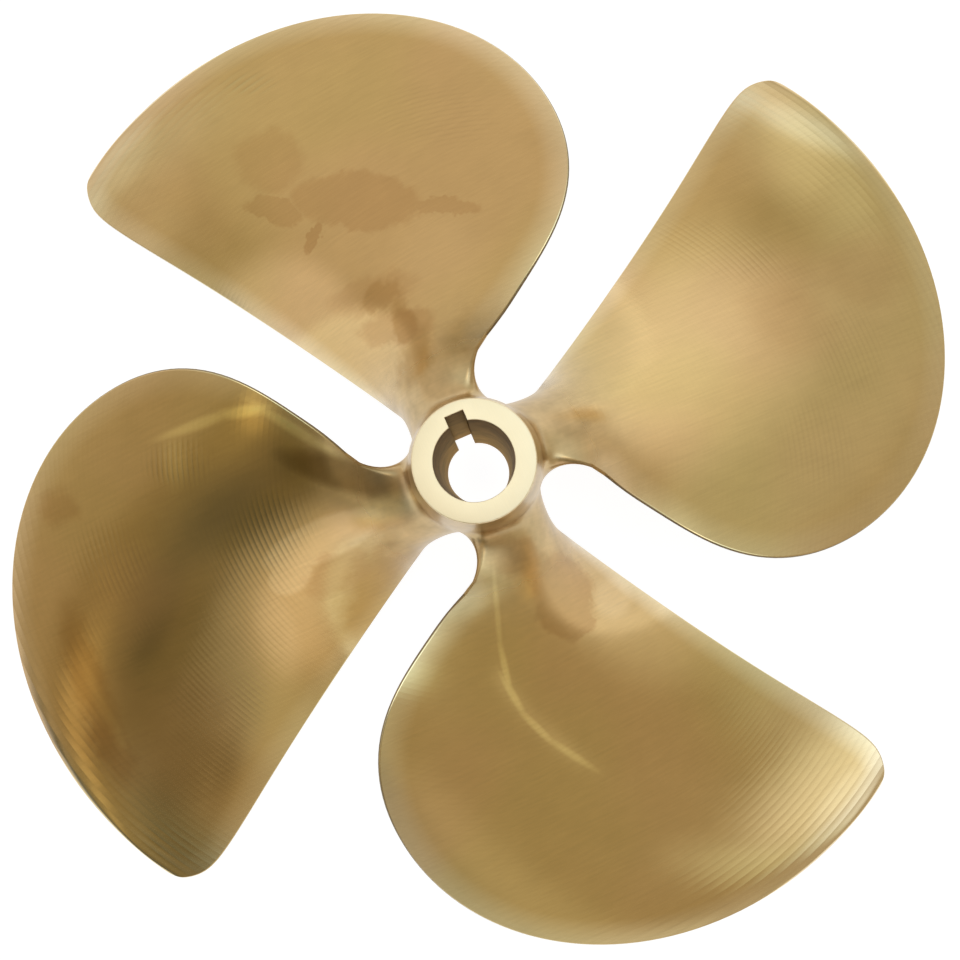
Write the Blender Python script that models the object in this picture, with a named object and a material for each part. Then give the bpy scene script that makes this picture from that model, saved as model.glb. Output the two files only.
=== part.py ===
"""Ship propeller: one bronze casting with four blades on a barrel hub.

It lies as it would on a workshop floor. The shaft axis is +Z and the forward hub face,
which holds the large end of the tapered bore, is up. The keyway is on the +Y side.
All sizes are in metres.
"""

import math

import bmesh
import bpy
import numpy as np
from mathutils import Vector
from mathutils.geometry import delaunay_2d_cdt

# Hub: a barrel, widest a little forward of its middle; heights run down from the forward face
HUB_LENGTH = 0.130
HUB_FORWARD_R = 0.0387
HUB_WIDEST_R = 0.0440
HUB_WIDEST_Z = -0.055
HUB_AFT_R = 0.0375
RIM_ROUND = 0.0008

# Tapered bore with a keyway along its whole length
BORE_LARGE_R = 0.0254
BORE_TAPER = 1.0 / 16.0
KEYWAY_WIDTH = 0.0122
KEYWAY_DEPTH = 0.0063
MOUTH_CHAMFER = 0.0003

# Blades: angles turn anticlockwise seen from forward and start from the datum. The two edges are
# curves of angle against the root of the distance from the tip, as a share of the radius
BLADES = 4
RADIUS = 0.3556
BLADE_DATUM_DEG = -23.3
LEADING_DEG = ((0.0, 50.0), (0.13, 32.9), (0.33, 9.9), (0.57, -11.5), (0.68, -18.1), (0.76, -18.8),
               (0.83, -14.1), (0.868, -7.4), (0.90, 2.7), (0.935, 9.3))
TRAILING_DEG = ((0.0, 50.0), (0.06, 52.6), (0.13, 54.1), (0.22, 55.4), (0.33, 55.9), (0.57, 55.2),
                (0.80, 54.2), (0.935, 53.6))

# Factors of rising powers of radius / tip radius
PITCH_RATIO = (0.526, 1.545, -1.553)
TRAILING_DEPTH = (0.0977, 0.1334, -0.0861)

# Blade thickness, how much of it lies on the face side, and the radius of the rounded edges
AXIS_THICKNESS = 0.0305
TIP_THICKNESS = 0.0040
THICKNESS_POWER = 1.15
FACE_SHARE = 0.12
EDGE_R = 0.0011
ROOT_EDGE_GAIN = 0.0032
ROOT_EDGE_POWER = 6
LARGEST_INSET = 0.4

# Root fillet: reach along the hub and rise up the blade, and what each gains per unit that the
# blade's surface faces round the shaft and forward
FILLET_REACH = 0.0147
REACH_GAIN = (-0.0025, 0.0062)
FILLET_RISE = 0.0283
RISE_GAIN = (-0.0020, 0.0026)
FILLET_BLEND = 0.040

# Fineness of the faceted solid
CHORD_STEPS = 12
NOSE_STEPS = 5
FILLET_ROWS = 7
SPAN_ROWS = 21
TIP_ROWS = 3
HUB_COLUMNS = 14
HUB_ROWS = 12
SECTOR_LEAN = -11.0
CLEAR_SHARE = 0.45
RIM_STEPS = 2
BORE_STEPS = 56
SLIVER_AREA = 1e-9
MERGE = 1e-9
WELD = 1e-6

BRONZE_COLOUR = (0.60, 0.41, 0.17, 1.0)
BRONZE_ROUGHNESS = 0.34


def spline(knots, x):
    """Natural cubic spline through the (position, value) knots, read at x."""
    xs, ys = (np.array(column) for column in zip(*knots))
    h = np.diff(xs)
    slope = np.diff(ys) / h
    system = np.eye(len(xs))
    right = np.zeros(len(xs))
    for i in range(1, len(xs) - 1):
        system[i, i - 1:i + 2] = h[i - 1], 2.0 * (h[i - 1] + h[i]), h[i]
        right[i] = 6.0 * (slope[i] - slope[i - 1])
    bend = np.linalg.solve(system, right)
    i = int(np.clip(np.searchsorted(xs, x) - 1, 0, len(h) - 1))
    a, b = x - xs[i], xs[i + 1] - x
    linear = ys[i] * b / h[i] + ys[i + 1] * a / h[i]
    curve = bend[i] * (b ** 3 / h[i] - b * h[i]) + bend[i + 1] * (a ** 3 / h[i] - a * h[i])
    return linear + curve / 6.0


def polynomial(factors, s):
    """Sum of factors times powers of s."""
    return sum(factor * s ** power for power, factor in enumerate(factors))


def hub_radius(z):
    """Outer radius of the barrel hub at height z, the forward face being at zero."""
    forward = HUB_WIDEST_R - (HUB_WIDEST_R - HUB_FORWARD_R) * ((z - HUB_WIDEST_Z) / HUB_WIDEST_Z) ** 2
    aft_reach = HUB_LENGTH + HUB_WIDEST_Z
    aft = HUB_WIDEST_R - (HUB_WIDEST_R - HUB_AFT_R) * ((z - HUB_WIDEST_Z) / aft_reach) ** 2
    return np.where(z > HUB_WIDEST_Z, forward, aft)


def nose(centre, first, last, ahead):
    """Points and normals that turn round an edge from one side's normal to the other's."""
    out = first - ahead * np.dot(first, ahead)
    out /= np.linalg.norm(out)
    ends = [math.atan2(np.dot(n, ahead), np.dot(n, out)) for n in (first, last)]
    turn = np.linspace(*ends, NOSE_STEPS + 2)[1:-1]
    normals = np.outer(np.cos(turn), out) + np.outer(np.sin(turn), ahead)
    return np.repeat(centre[None, :], NOSE_STEPS, axis=0), normals


def section(radius, flare):
    """Angle, height and fillet rise around one blade section.

    The section is grown outwards by the flare, a share of the fillet's reach.
    """
    s = radius / RADIUS
    u = math.sqrt(max(0.0, 1.0 - s))
    lead, trail = (math.radians(spline(knots, u)) for knots in (LEADING_DEG, TRAILING_DEG))
    pitch = polynomial(PITCH_RATIO, s) * 2.0 * RADIUS
    trail_z = -polynomial(TRAILING_DEPTH, s)
    lead_z = trail_z + pitch * (trail - lead) / (2.0 * math.pi)
    run = np.array((radius * (trail - lead), trail_z - lead_z))
    chord = float(np.hypot(*run))
    along = run / chord
    out = np.array((-along[1], along[0]))
    edge = EDGE_R + ROOT_EDGE_GAIN * (1.0 - s) ** ROOT_EDGE_POWER
    past = (radius - (RADIUS - edge)) / edge
    rounding = math.sqrt(max(0.0, 1.0 - past ** 2)) if past > 0.0 else 1.0
    thick = TIP_THICKNESS + (AXIS_THICKNESS - TIP_THICKNESS) * (1.0 - s) ** THICKNESS_POWER
    bulge = max(0.0, thick - 2.0 * edge) * rounding
    inset = min(edge * rounding, LARGEST_INSET * chord)
    core = chord - 2.0 * inset
    x = 0.5 - 0.5 * np.cos(np.linspace(0.0, math.pi, CHORD_STEPS + 1))
    sides = []
    for share, sign in ((1.0 - FACE_SHARE, 1.0), (FACE_SHARE, -1.0)):
        height = share * bulge * 4.0 * x * (1.0 - x)
        lean = share * bulge * 4.0 * (1.0 - 2.0 * x) / core
        point = np.outer(inset + x * core, along) + np.outer(sign * height, out)
        normal = np.outer(-lean, along) + sign * out
        sides.append((point, normal / np.linalg.norm(normal, axis=1)[:, None]))
    (back, back_n), (face, face_n) = sides
    tail, tail_n = nose(back[-1], back_n[-1], face_n[-1], along)
    head, head_n = nose(face[0], face_n[0], back_n[0], -along)
    points = np.vstack((back, tail, face[::-1], head))
    normals = np.vstack((back_n, tail_n, face_n[::-1], head_n))
    reach = FILLET_REACH + normals @ np.array(REACH_GAIN)
    rise = FILLET_RISE + normals @ np.array(RISE_GAIN)
    flat = points + normals * (edge * rounding + flare * reach)[:, None]
    angles = lead + flat[:, 0] / radius + math.radians(BLADE_DATUM_DEG)
    return np.column_stack((angles, lead_z + flat[:, 1], rise))


def fillet_top():
    """Greatest rise of the root fillet."""
    return FILLET_RISE + math.hypot(*RISE_GAIN)


def fillet_row(turn):
    """Row of (radius, angle, height) points at one turn of the root fillet, up to a quarter."""
    top = fillet_top()
    flare = 1.0 - math.sin(turn)
    low, high = (section(HUB_WIDEST_R + rise, flare) for rise in (0.0, top))
    rise = (1.0 - math.cos(turn)) * low[:, 2]
    flat = low + (high - low) * (rise / top)[:, None]
    return np.column_stack((HUB_WIDEST_R + rise, flat[:, :2]))


def span_row(radius):
    """Row of (radius, angle, height) points on one cylinder."""
    flat = section(radius, 0.0)
    return np.column_stack((np.full(len(flat), radius), flat[:, :2]))


def blade_rows():
    """Rows of (radius, angle, height) points from the hub surface to the tip."""
    start, tip = (math.sqrt(1.0 - r / RADIUS) for r in (HUB_WIDEST_R + fillet_top(), RADIUS - EDGE_R))
    rows = [fillet_row(turn) for turn in np.linspace(0.0, 0.5 * math.pi, FILLET_ROWS)]
    stations = list(np.linspace(start, tip, SPAN_ROWS)[1:])
    stations += list(np.linspace(tip, 0.0, TIP_ROWS + 2)[1:-1])
    rows += [span_row(RADIUS * (1.0 - u ** 2)) for u in stations]
    for row in rows:
        follow = np.maximum(0.0, 1.0 - (row[:, 0] - HUB_WIDEST_R) / FILLET_BLEND)
        row[:, 0] += (hub_radius(row[:, 2]) - HUB_WIDEST_R) * follow
    return rows


def place(radius, angle, z):
    """Point at a radius, angle and height."""
    return Vector((radius * math.cos(angle), radius * math.sin(angle), z))


def inside(loop, point):
    """Whether a flat point lies inside a closed loop."""
    px, py = point
    hit = False
    for (ax, ay), (bx, by) in zip(loop, np.roll(loop, -1, axis=0)):
        if (ay > py) != (by > py) and px < ax + (py - ay) * (bx - ax) / (by - ay):
            hit = not hit
    return hit


def filled(outer, hole, extra):
    """Triangles between an outer loop and a hole, with extra points between them."""
    points, edges = [], []
    for loop in (outer, hole):
        first = len(points)
        points += [Vector(p) for p in loop]
        edges += [(first + i, first + (i + 1) % len(loop)) for i in range(len(loop))]
    points += [Vector(p) for p in extra]
    result = delaunay_2d_cdt(points, edges, [], 0, MERGE)
    order = [origin[0] for origin in result[3]]
    triangles = []
    for face in result[2]:
        a, b, c = (result[0][i] for i in face)
        centre = (a + b + c) / 3.0
        real = abs((b - a).cross(c - a)) > SLIVER_AREA
        if real and inside(outer, centre) and not inside(hole, centre):
            triangles.append([order[i] for i in face])
    return triangles


def sector_start(footprint):
    """Angle at the forward face where the hub sector round one blade root starts."""
    upright = footprint[:, 1] - SECTOR_LEAN * footprint[:, 2]
    return 0.5 * (upright.min() + upright.max()) - math.pi / BLADES


def hub_sector(footprint):
    """Flat points and triangles of the hub skin around one blade root.

    The sector is a quarter of the hub with leaning sides, which run clear of the roots.
    """
    sweep = 2.0 * math.pi / BLADES
    angles = sector_start(footprint) + sweep * np.linspace(0.0, 1.0, HUB_COLUMNS + 1)
    heights = np.linspace(-RIM_ROUND, RIM_ROUND - HUB_LENGTH, HUB_ROWS + 1)
    edge = [(a, heights[0]) for a in angles]
    edge += [(angles[-1], z) for z in heights[1:]]
    edge += [(a, heights[-1]) for a in angles[::-1][1:]]
    edge += [(angles[0], z) for z in heights[::-1][1:-1]]
    scale = np.array((HUB_WIDEST_R, 1.0))
    outer = np.array([(a + SECTOR_LEAN * z, z) for a, z in edge]) * scale
    loop = footprint[:, 1:] * scale
    space = CLEAR_SHARE * sweep * HUB_WIDEST_R / HUB_COLUMNS
    extra = []
    for a in angles[1:-1]:
        for z in heights[1:-1]:
            point = np.array((a + SECTOR_LEAN * z, z)) * scale
            clear = np.linalg.norm(loop - point, axis=1).min() > space
            if clear and not inside(loop, point):
                extra.append(point)
    triangles = filled(outer, loop, extra)
    return np.vstack([outer, loop] + extra) / scale, triangles


def bore_loop(z, grow):
    """Outline of the bore with its keyway at height z, made larger by grow."""
    radius = BORE_LARGE_R + z * BORE_TAPER / 2.0 + grow
    half = KEYWAY_WIDTH / 2.0 + grow
    floor = radius + KEYWAY_DEPTH
    gap = math.asin(half / radius)
    start = 0.5 * math.pi + gap
    turn = np.linspace(start, start + 2.0 * (math.pi - gap), BORE_STEPS + 1)
    circle = [(radius * math.cos(a), radius * math.sin(a)) for a in turn]
    return np.array(circle + [(half, floor), (-half, floor)])


def bridge(mesh, lower, upper):
    """Quads between two closed rings with equal counts."""
    for i in range(len(lower)):
        j = (i + 1) % len(lower)
        mesh.faces.new((lower[i], lower[j], upper[j], upper[i]))


def add_blade(mesh, rows, turn):
    """One blade, turned round the shaft, with a fan of triangles that closes its tip."""
    rings = [[mesh.verts.new(place(r, a + turn, z)) for r, a, z in row] for row in rows]
    for lower, upper in zip(rings, rings[1:]):
        bridge(mesh, lower, upper)
    last = rings[-1]
    tip = mesh.verts.new(place(RADIUS, rows[-1][:, 1].mean() + turn, rows[-1][:, 2].mean()))
    for i in range(len(last)):
        mesh.faces.new((last[i], last[(i + 1) % len(last)], tip))


def add_skin(mesh, flat, triangles, turn):
    """The hub skin round one blade root."""
    skin = [mesh.verts.new(place(float(hub_radius(z)), a + turn, z)) for a, z in flat]
    for triangle in triangles:
        mesh.faces.new([skin[i] for i in triangle])


def add_end(mesh, start, face_r, face_z, side):
    """One rounded rim and the flat end face inside it; side is 1 forward and -1 aft."""
    skin_z = face_z - side * RIM_ROUND
    skin_r = float(hub_radius(skin_z))
    count = HUB_COLUMNS * BLADES
    around = start + SECTOR_LEAN * skin_z + 2.0 * math.pi * np.arange(count) / count
    rings = []
    for turn in np.linspace(0.0, 0.5 * math.pi, RIM_STEPS + 1):
        r = skin_r + (face_r - RIM_ROUND - skin_r) * (1.0 - math.cos(turn))
        z = skin_z + side * RIM_ROUND * math.sin(turn)
        rings.append([mesh.verts.new(place(r, a, z)) for a in around])
    for lower, upper in zip(rings, rings[1:]):
        bridge(mesh, lower, upper)
    rim = np.array([(v.co.x, v.co.y) for v in rings[-1]])
    mouth = bore_loop(face_z, MOUTH_CHAMFER)
    points = [mesh.verts.new((x, y, face_z)) for x, y in np.vstack((rim, mouth))]
    for triangle in filled(rim, mouth, []):
        mesh.faces.new([points[i] for i in triangle])


def add_bore(mesh):
    """Walls of the bore and keyway with a small chamfer at both mouths."""
    rings = []
    for z, grow in ((0.0, MOUTH_CHAMFER), (-MOUTH_CHAMFER, 0.0),
                    (MOUTH_CHAMFER - HUB_LENGTH, 0.0), (-HUB_LENGTH, MOUTH_CHAMFER)):
        rings.append([mesh.verts.new((x, y, z)) for x, y in bore_loop(z, grow)])
    for lower, upper in zip(rings, rings[1:]):
        bridge(mesh, lower, upper)


def build_mesh():
    """Closed mesh of the whole casting, lowest point on the floor."""
    mesh = bmesh.new()
    rows = blade_rows()
    flat, triangles = hub_sector(rows[0])
    for number in range(BLADES):
        turn = 2.0 * math.pi * number / BLADES
        add_blade(mesh, rows, turn)
        add_skin(mesh, flat, triangles, turn)
    start = sector_start(rows[0])
    add_end(mesh, start, HUB_FORWARD_R, 0.0, 1.0)
    add_end(mesh, start, HUB_AFT_R, -HUB_LENGTH, -1.0)
    add_bore(mesh)
    bmesh.ops.remove_doubles(mesh, verts=mesh.verts, dist=WELD)
    bmesh.ops.triangulate(mesh, faces=mesh.faces)
    bmesh.ops.recalc_face_normals(mesh, faces=mesh.faces)
    lowest = min(v.co.z for v in mesh.verts)
    bmesh.ops.translate(mesh, verts=mesh.verts, vec=(0.0, 0.0, -lowest))
    return mesh


def bronze():
    """Satin propeller bronze."""
    material = bpy.data.materials.new("bronze")
    material.use_nodes = True
    shader = material.node_tree.nodes["Principled BSDF"]
    shader.inputs["Base Color"].default_value = BRONZE_COLOUR
    shader.inputs["Roughness"].default_value = BRONZE_ROUGHNESS
    shader.inputs["Metallic"].default_value = 1.0
    return material


def main():
    """Clear the scene and build the casting."""
    for item in list(bpy.data.objects):
        bpy.data.objects.remove(item)
    mesh = build_mesh()
    data = bpy.data.meshes.new("propeller")
    mesh.to_mesh(data)
    mesh.free()
    data.shade_smooth()
    data.materials.append(bronze())
    propeller = bpy.data.objects.new("propeller", data)
    bpy.context.scene.collection.objects.link(propeller)


main()
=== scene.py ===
"""Looks of the ship propeller: one bronze casting on a pale studio floor.

The casting is built again here from the same sizes as its solid, only finer, and gets
the finishes of the real one: milled blades, a turned ring and a dull, fitted bore.
Lengths are in metres where a name or docstring doesn't say millimetres.
"""

import logging
import math
from dataclasses import dataclass
from enum import Enum
from typing import Optional, Sequence, Union

import bmesh
import bpy
import numpy as np
from mathutils import Matrix, Vector
from mathutils.geometry import delaunay_2d_cdt
from mathutils.kdtree import KDTree


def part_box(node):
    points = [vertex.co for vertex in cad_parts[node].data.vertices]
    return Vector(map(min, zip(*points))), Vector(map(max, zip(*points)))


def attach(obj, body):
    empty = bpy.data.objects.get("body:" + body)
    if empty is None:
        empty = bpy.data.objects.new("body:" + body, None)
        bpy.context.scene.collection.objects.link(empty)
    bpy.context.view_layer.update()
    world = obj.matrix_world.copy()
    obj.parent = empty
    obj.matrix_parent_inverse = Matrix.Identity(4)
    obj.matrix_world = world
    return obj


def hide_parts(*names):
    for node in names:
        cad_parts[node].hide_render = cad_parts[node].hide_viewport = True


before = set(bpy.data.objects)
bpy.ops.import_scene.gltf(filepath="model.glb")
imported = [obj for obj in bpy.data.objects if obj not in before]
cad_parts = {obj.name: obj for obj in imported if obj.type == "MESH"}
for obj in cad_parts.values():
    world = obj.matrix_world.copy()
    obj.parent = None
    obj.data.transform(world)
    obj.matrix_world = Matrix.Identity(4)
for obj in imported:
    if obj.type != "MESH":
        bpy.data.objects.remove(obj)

TURN = 2.0 * math.pi
MM = 0.001
PICTURE_DEG = -23.3
RIM = "rim"

logging.basicConfig(level=logging.INFO, format="%(message)s")
log = logging.getLogger("propeller")


class Region(Enum):
    """The differently finished regions of the casting, in material order."""

    SKIN = 0
    RING = 1
    BORE = 2
    EDGE = 3
    TOP_RIGHT = 4
    TOP_LEFT = 5
    LOW_LEFT = 6
    LOW_RIGHT = 7


BLADES = (Region.TOP_RIGHT, Region.TOP_LEFT, Region.LOW_LEFT, Region.LOW_RIGHT)


# Shader maths
class Sock:
    """One shader socket that Python's operators work on."""

    def __init__(self, shader: "Nodes", socket: bpy.types.NodeSocket) -> None:
        """Wrap a socket of a shader.

        Args:
            shader: the shader that the socket belongs to.
            socket: the output socket to work on.
        """
        self.shader = shader
        self.socket = socket

    def math(self, operation: str, *others: "Value") -> "Sock":
        """Add a Math node on this value.

        Args:
            operation: the Math node's operation.
            others: its further operands.

        Returns:
            The result.
        """
        values = dict(enumerate((self, *others)))
        return self.shader.node("ShaderNodeMath", {"operation": operation}, values)

    def __add__(self, other: "Value") -> "Sock":
        """Sum."""
        return self.math("ADD", other)

    __radd__ = __add__

    def __mul__(self, other: "Value") -> "Sock":
        """Product."""
        return self.math("MULTIPLY", other)

    __rmul__ = __mul__

    def __sub__(self, other: "Value") -> "Sock":
        """Difference."""
        return self.math("SUBTRACT", other)

    def __rsub__(self, other: float) -> "Sock":
        """Difference from a number."""
        return self * -1.0 + other

    def rise(self, low: float, high: float, top: float = 1.0) -> "Sock":
        """Smooth step from 0 at low to the top at high.

        Args:
            low: where the step starts.
            high: where it ends; below low the step falls.
            top: the value that it reaches.

        Returns:
            The stepped value.
        """
        return self.shader.node(
            "ShaderNodeMapRange", {"interpolation_type": "SMOOTHSTEP"},
            {"Value": self, "From Min": low, "From Max": high, "To Max": top})


Value = Union[Sock, float, Sequence[float]]


class Nodes:
    """A node tree whose nodes are added by one method."""

    def __init__(self, tree: bpy.types.NodeTree) -> None:
        """Take over a tree.

        Args:
            tree: the tree to add to.
        """
        self.tree = tree

    def node(self, kind: str, settings: Optional[dict] = None, values: Optional[dict] = None,
             output: Union[int, str] = 0) -> Sock:
        """Add any node.

        Args:
            kind: Blender's name of the node type.
            settings: properties, set before the sockets.
            values: socket name or number to a constant or a Sock.
            output: which output to return.

        Returns:
            The chosen output.
        """
        made = self.tree.nodes.new(kind)
        for key, value in (settings or {}).items():
            setattr(made, key, value)
        for key, value in (values or {}).items():
            self._plug(made.inputs[key], value)
        return Sock(self, made.outputs[output])

    def _plug(self, socket: bpy.types.NodeSocket, value: Value) -> None:
        """Link or set one input socket.

        Args:
            socket: the input.
            value: a Sock, a number, or a colour or vector.
        """
        if isinstance(value, Sock):
            self.tree.links.new(value.socket, socket)
        else:
            socket.default_value = value

    def vector(self, x: Value, y: Value, z: Value) -> Sock:
        """A vector from three values."""
        return self.node("ShaderNodeCombineXYZ", {}, {0: x, 1: y, 2: z})

    def noise(self, at: Sock, scale: float, detail: float = 2.0, roughness: float = 0.5,
              output: Union[int, str] = 0) -> Sock:
        """Fractal noise around 0.5.

        Args:
            at: where to read it.
            scale: how many features a unit holds.
            detail: number of octaves.
            roughness: weight of the finer octaves.
            output: the value, or "Color" for three of them.

        Returns:
            The noise.
        """
        return self.node("ShaderNodeTexNoise", {}, {
            "Vector": at, "Scale": scale, "Detail": detail, "Roughness": roughness}, output)

    def blend(self, share: Value, first: Value, second: Value, how: str = "MIX") -> Sock:
        """Mix two colours.

        Args:
            share: how much of the second.
            first: first colour.
            second: second colour.
            how: blend type.

        Returns:
            The mixed colour.
        """
        return self.node("ShaderNodeMix", {"data_type": "RGBA", "blend_type": how},
                         {0: share, 6: first, 7: second}, 2)

    def tinted(self, colour: Value, tint: Value) -> Sock:
        """A colour times another."""
        return self.blend(1.0, colour, tint, "MULTIPLY")

    def toned(self, colour: Value, tone: Value) -> Sock:
        """A colour made lighter or darker by a value around 1."""
        return self.tinted(colour, self.vector(tone, tone, tone))

    def scaled(self, amount: Value, vector: Value, plus: Value = (0.0, 0.0, 0.0)) -> Sock:
        """A vector or colour times a value, plus another.

        Args:
            amount: the value.
            vector: what it multiplies.
            plus: what is added.

        Returns:
            The sum.
        """
        return self.node("ShaderNodeVectorMath", {"operation": "MULTIPLY_ADD"},
                         {0: self.vector(amount, amount, amount), 1: vector, 2: plus})


class Shader(Nodes):
    """A Principled material."""

    def __init__(self, name: str) -> None:
        """Make an empty Principled material.

        Args:
            name: the material's name.
        """
        self.material = bpy.data.materials.new(name)
        self.material.use_nodes = True
        super().__init__(self.material.node_tree)
        self.surface = self.tree.nodes["Principled BSDF"]

    def set(self, **values: Value) -> None:
        """Set or link the surface's sockets, with underscores for spaces.

        Args:
            values: socket name to value.
        """
        for key, value in values.items():
            self._plug(self.surface.inputs[key.replace("_", " ")], value)

    def position(self) -> tuple:
        """The surface point in the part's own frame.

        Returns:
            The point and its three coordinates.
        """
        at = self.node("ShaderNodeTexCoord", output="Object")
        return at, *(self.node("ShaderNodeSeparateXYZ", {}, {0: at}, i) for i in range(3))

    def brushed(self, at: Sock, scale: tuple) -> Sock:
        """The surface point stretched for lines that all run one way.

        Args:
            at: surface point.
            scale: how many features a metre holds along each axis.

        Returns:
            The stretched point.
        """
        turn = (0.0, 0.0, math.radians(-PICTURE_DEG))
        return self.node("ShaderNodeMapping", {}, {"Vector": at, "Rotation": turn, "Scale": scale})

    def relief(self, height_mm: Sock) -> Sock:
        """Normal from a height in millimetres."""
        return self.node("ShaderNodeBump", {}, {
            "Strength": 1.0, "Distance": MM, "Height": height_mm})


# Geometry
@dataclass(frozen=True)
class Curve:
    """Natural cubic spline through (position, value) knots."""

    knots: tuple

    def bends(self) -> tuple:
        """Solve for the second derivatives.

        Returns:
            Positions, values, second derivatives.
        """
        xs, ys = (np.array(column) for column in zip(*self.knots))
        h = np.diff(xs)
        slope = np.diff(ys) / h
        system = np.eye(len(xs))
        right = np.zeros(len(xs))
        for i in range(1, len(xs) - 1):
            system[i, i - 1:i + 2] = h[i - 1], 2.0 * (h[i - 1] + h[i]), h[i]
            right[i] = 6.0 * (slope[i] - slope[i - 1])
        return xs, ys, np.linalg.solve(system, right)

    def at(self, x: float) -> float:
        """Read the spline.

        Args:
            x: position.

        Returns:
            The value there.
        """
        xs, ys, bend = self.bends()
        i = int(np.clip(np.searchsorted(xs, x) - 1, 0, len(xs) - 2))
        h = xs[i + 1] - xs[i]
        a, b = x - xs[i], xs[i + 1] - x
        curve = bend[i] * (b ** 3 / h - b * h) + bend[i + 1] * (a ** 3 / h - a * h)
        return float(ys[i] * b / h + ys[i + 1] * a / h + curve / 6.0)


@dataclass(frozen=True)
class Hub:
    """Barrel hub, forward face at height zero."""

    length: float = 0.130
    forward_r: float = 0.0387
    widest_r: float = 0.0440
    widest_z: float = -0.055
    aft_r: float = 0.0375
    rim: float = 0.0008
    rim_rows: int = 5

    def radius(self, z: np.ndarray) -> np.ndarray:
        """Outer radius at a height.

        Args:
            z: heights.

        Returns:
            Radii.
        """
        fall = (z - self.widest_z) ** 2
        forward = self.widest_r - (self.widest_r - self.forward_r) * fall / self.widest_z ** 2
        reach = self.length + self.widest_z
        aft = self.widest_r - (self.widest_r - self.aft_r) * fall / reach ** 2
        return np.where(z > self.widest_z, forward, aft)

    def rim_profile(self, forward: bool) -> list:
        """Rounded corner between skin and end face.

        Args:
            forward: which end.

        Returns:
            (radius, height) pairs from the skin to the flat face.
        """
        side = 1.0 if forward else -1.0
        skin_z = -self.rim if forward else self.rim - self.length
        skin_r = float(self.radius(np.array(skin_z)))
        rows = []
        for turn in np.linspace(0.0, 0.5 * math.pi, self.rim_rows):
            rows.append((skin_r - self.rim * (1.0 - math.cos(turn)),
                         skin_z + side * self.rim * math.sin(turn)))
        return rows


@dataclass(frozen=True)
class Bore:
    """Tapered bore with its keyway on the +Y side."""

    large_r: float = 0.0254
    taper: float = 1.0 / 16.0
    key_width: float = 0.0122
    key_depth: float = 0.0063
    chamfer: float = 0.0003
    steps: int = 220

    def outline(self, z: float, grow: float) -> np.ndarray:
        """Outline at a height.

        Args:
            z: height.
            grow: how far the outline moves outwards.

        Returns:
            Flat points, anticlockwise.
        """
        radius = self.large_r + z * self.taper / 2.0 + grow
        half = self.key_width / 2.0 + grow
        gap = math.asin(half / radius)
        start = 0.5 * math.pi + gap
        turn = np.linspace(start, start + 2.0 * (math.pi - gap), self.steps + 1)
        circle = np.column_stack((radius * np.cos(turn), radius * np.sin(turn)))
        floor = radius + self.key_depth
        return np.vstack((circle, ((half, floor), (-half, floor))))


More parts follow.
